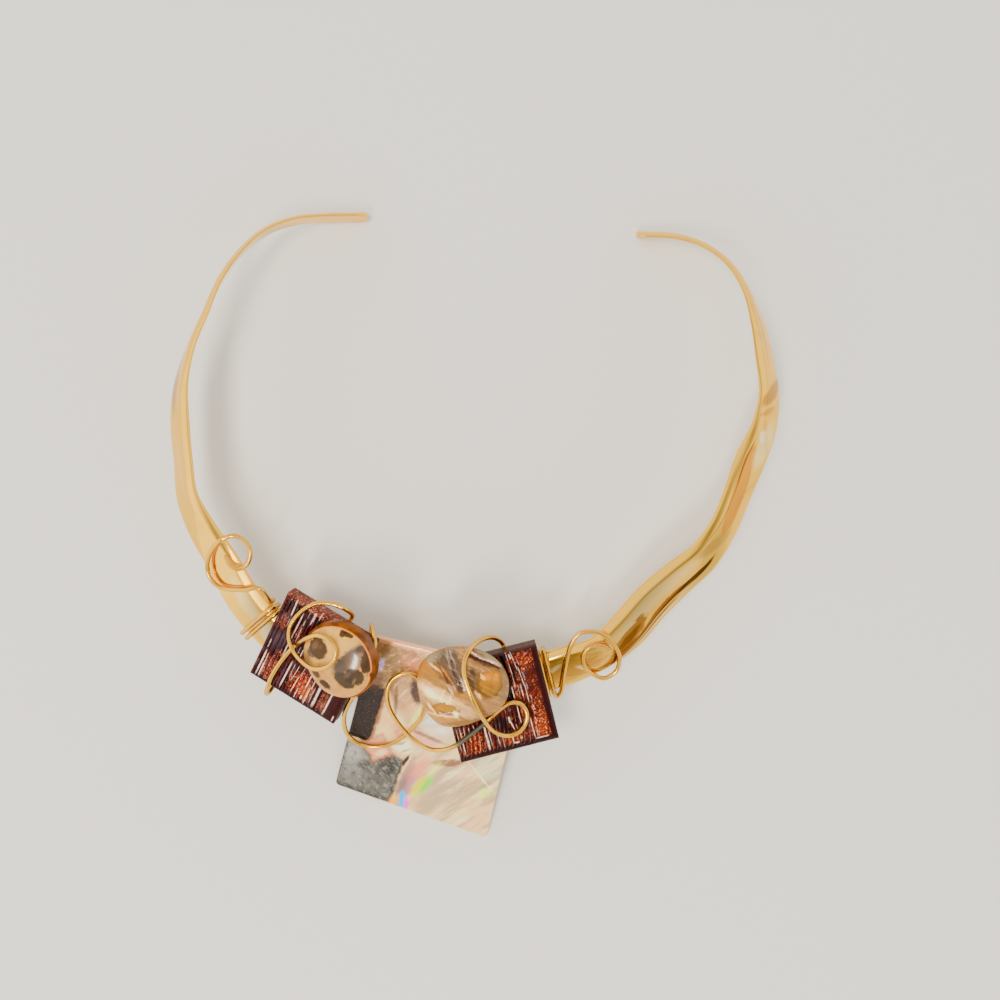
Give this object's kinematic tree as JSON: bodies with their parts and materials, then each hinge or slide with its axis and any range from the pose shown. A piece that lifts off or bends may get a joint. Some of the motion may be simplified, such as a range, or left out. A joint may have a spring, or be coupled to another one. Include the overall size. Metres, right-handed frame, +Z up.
{
  "type": "torc choker",
  "caption": "Rigid open torc choker of wavy forged strip, its front bound with curled wire round a mother-of-pearl plate, ribbed glass tiles and polished beads.",
  "frame": {"origin": "middle of the bounding box's underside, on the surface that the collar lies on", "axes": "+X to the right, +Y towards the open back, +Z up; the front of the collar faces -Y"},
  "size_m": [0.132, 0.1418, 0.029],
  "materials": {
    "band_brass": "polished",
    "wire_brass": "satin",
    "shell": "polished",
    "left_glass": "gloss",
    "right_glass": "gloss",
    "spotted_shell": "polished",
    "amber_shell": "polished"
  },
  "bodies": {
    "root": {"collar_band": "band_brass", "shell_plate": "shell", "glass_tile_left": "left_glass", "glass_tile_right": "right_glass", "spotted_cabochon": "spotted_shell", "pearl_nugget": "amber_shell", "wire_left_wrap": "wire_brass", "wire_cabochon_curl": "wire_brass", "wire_front_scroll": "wire_brass", "wire_right_wrap": "wire_brass"}
  },
  "joints": []
}
